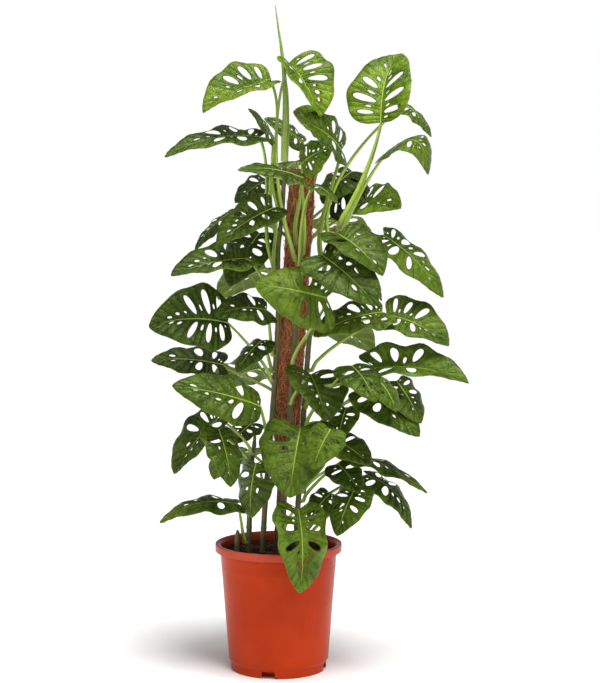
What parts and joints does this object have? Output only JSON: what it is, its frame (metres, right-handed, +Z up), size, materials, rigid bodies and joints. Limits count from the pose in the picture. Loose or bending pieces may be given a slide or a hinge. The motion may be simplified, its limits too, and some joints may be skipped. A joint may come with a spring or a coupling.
{
  "type": "potted Swiss cheese vine (Monstera adansonii) on a coir pole",
  "caption": "Climbing aroid house plant with holed leaves on long stalks, tied up a coir pole in a round plastic nursery pot.",
  "frame": {"origin": "middle of the flat underside of the pot's floor, on the surface that the pot stands on", "axes": "+Z up along the pot's axis, -Y towards the plant's front, +X to its right as seen from the front"},
  "size_m": [0.5901, 0.43, 1.2461],
  "materials": {
    "leaf": "satin green leaf blade with paler underside",
    "young_leaf": "satin light green",
    "stem": "satin green bark",
    "pot": "satin moulded plastic",
    "soil": "rough damp fibrous soil",
    "stake": "rough dark wood",
    "coir": "rough matted fibre"
  },
  "bodies": {
    "root": {"leaf_centre_front": "leaf", "leaf_crown_edge": "leaf", "leaf_crown_edge_right": "leaf", "leaf_crown_pale": "leaf", "leaf_crown_right": "leaf", "leaf_far_right": "leaf", "leaf_front_big": "leaf", "leaf_front_low": "leaf", "leaf_front_pale": "leaf", "leaf_left_behind": "leaf", "leaf_left_big": "leaf", "leaf_left_dark": "leaf", "leaf_left_front": "leaf", "leaf_left_hanging": "leaf", "leaf_low_centre": "leaf", "leaf_low_left_inner": "leaf", "leaf_low_left_mid": "leaf", "leaf_low_left_outer": "leaf", "leaf_low_mid_small": "leaf", "leaf_low_right_cut": "leaf", "leaf_low_right_dark": "leaf", "leaf_low_right_drop": "leaf", "leaf_low_right_gloss": "leaf", "leaf_low_right_holes": "leaf", "leaf_low_right_long": "leaf", "leaf_low_right_round": "leaf", "leaf_low_right_small": "leaf", "leaf_low_right_tip": "leaf", "leaf_mid_dark": "leaf", "leaf_mid_holes": "leaf", "leaf_mid_left": "leaf", "leaf_mid_mottled": "leaf", "leaf_mid_right_fold": "leaf", "leaf_mid_right_upper": "leaf", "leaf_right_one": "leaf", "leaf_right_pale": "leaf", "leaf_right_two": "leaf", "leaf_soil_back": "leaf", "leaf_soil_left": "leaf", "leaf_top_left": "leaf", "leaf_top_mid": "leaf", "leaf_upper_left": "leaf", "leaf_upper_left_dark": "leaf", "leaf_upper_left_edge": "leaf", "leaf_upper_left_mid": "leaf", "leaf_upper_left_narrow": "leaf", "leaf_upper_right": "leaf", "leaf_upper_right_back": "leaf", "leaf_upper_shield": "leaf", "pole_sleeve": "coir", "pole_stake": "stake", "pot": "pot", "rolled_leaf": "young_leaf", "soil": "soil", "stem_back": "stem", "stem_front": "stem", "stem_left": "stem", "stem_right": "stem", "stem_stub": "stem", "stem_young": "stem"}
  },
  "joints": []
}
